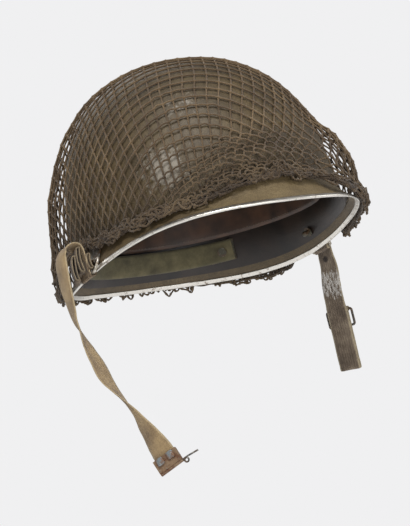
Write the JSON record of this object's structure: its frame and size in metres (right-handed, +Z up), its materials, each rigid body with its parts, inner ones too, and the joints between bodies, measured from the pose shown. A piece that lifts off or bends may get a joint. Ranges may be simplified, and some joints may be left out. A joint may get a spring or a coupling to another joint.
{
  "type": "steel pot helmet",
  "caption": "Steel pot helmet with a flared brim and edging, a suspension liner inside, hinged bails, webbing chin straps and a slack cord net over it.",
  "frame": {"origin": "middle of the head opening, level with the lowest point of the steel edge", "axes": "+Z up out of the crown, -Y towards the brow, +X towards the wearer's left"},
  "size_m": [0.2975, 0.2906, 0.3488],
  "materials": {
    "painted_steel": "worn matt paint with a fine grit",
    "worn_steel_edging": "bare and rusted",
    "painted_wire": "worn matt paint over steel",
    "dark_wire": "blackened",
    "rusted_brass": "tarnished",
    "tan_webbing": "worn cotton webbing",
    "liner_body": "dark resin and cloth",
    "washer_steel": "matt paint",
    "liner_webbing": "cotton webbing",
    "sweatband_leather": "worn",
    "clip_metal": "matt paint",
    "lace_cord": "braided cord",
    "net_cord": "knotted cotton cord"
  },
  "bodies": {
    "liner": {"liner_shell": "liner_body", "liner_eyelet": "rusted_brass", "suspension_washers": "washer_steel", "suspension_rivets": "washer_steel", "headband_web": "liner_webbing", "sweatband": "sweatband_leather", "sweatband_clips": "clip_metal", "sweatband_buckle": "clip_metal", "crown_lace": "lace_cord", "crown_strap_1": "liner_webbing", "crown_strap_2": "liner_webbing", "crown_strap_3": "liner_webbing", "crown_strap_4": "liner_webbing", "crown_strap_5": "liner_webbing", "crown_strap_6": "liner_webbing", "nape_band": "liner_webbing", "nape_washers": "washer_steel", "nape_rivets": "washer_steel", "liner_strap_studs": "washer_steel"},
    "pot": {"steel_shell": "painted_steel", "rim_band": "worn_steel_edging", "bail_lug_left": "painted_wire", "bail_lug_right": "painted_wire"},
    "net": {"helmet_net": "net_cord", "net_hem": "net_cord"},
    "bail_left": {"bail_left": "painted_wire"},
    "bail_right": {"bail_right": "painted_wire"},
    "strap_left": {"chin_strap_left": "tan_webbing", "strap_snap_left": "rusted_brass"},
    "strap_right": {"chin_strap_right": "tan_webbing", "strap_folds_right": "tan_webbing", "strap_end_clamp": "painted_wire"},
    "end_hook": {"strap_end_hook": "dark_wire"},
    "buckle": {"strap_buckle_left": "dark_wire"}
  },
  "joints": [
    {"name": "pot_lifts_off", "type": "slide", "parent": "liner", "child": "pot", "axis": [0, 0, 1], "range_m": [0, 0.19]},
    {"name": "net_lifts_off", "type": "slide", "parent": "pot", "child": "net", "axis": [0, 0, 1], "range_m": [0, 0.2]},
    {"name": "left_bail_hinge", "type": "hinge", "parent": "pot", "child": "bail_left", "pos_m": [0.11901, 0.00779, 0.01577], "axis": [0.0426, -0.99, 0.1348], "range_deg": [0, 60]},
    {"name": "right_bail_hinge", "type": "hinge", "parent": "pot", "child": "bail_right", "pos_m": [-0.11901, 0.00779, 0.01577], "axis": [0.0426, 0.99, -0.1348], "range_deg": [0, 15]},
    {"name": "left_strap_hinge", "type": "hinge", "parent": "bail_left", "child": "strap_left", "pos_m": [0.12597, 0.00661, 0.00485], "axis": [0.0426, -0.99, 0.1348], "range_deg": [-20, 40]},
    {"name": "right_strap_hinge", "type": "hinge", "parent": "bail_right", "child": "strap_right", "pos_m": [-0.12597, 0.00661, 0.00485], "axis": [0.0426, 0.99, -0.1348], "range_deg": [-20, 2]},
    {"name": "end_hook_hinge", "type": "hinge", "parent": "strap_right", "child": "end_hook", "pos_m": [-0.1183, -0.04221, -0.16056], "axis": [0.5757, -0.7198, 0.3879], "range_deg": [-45, 45]},
    {"name": "buckle_hinge", "type": "hinge", "parent": "strap_left", "child": "buckle", "pos_m": [0.13605, 0.01536, -0.051], "axis": [0.5054, -0.8625, -0.0255], "range_deg": [0, 90]}
  ]
}
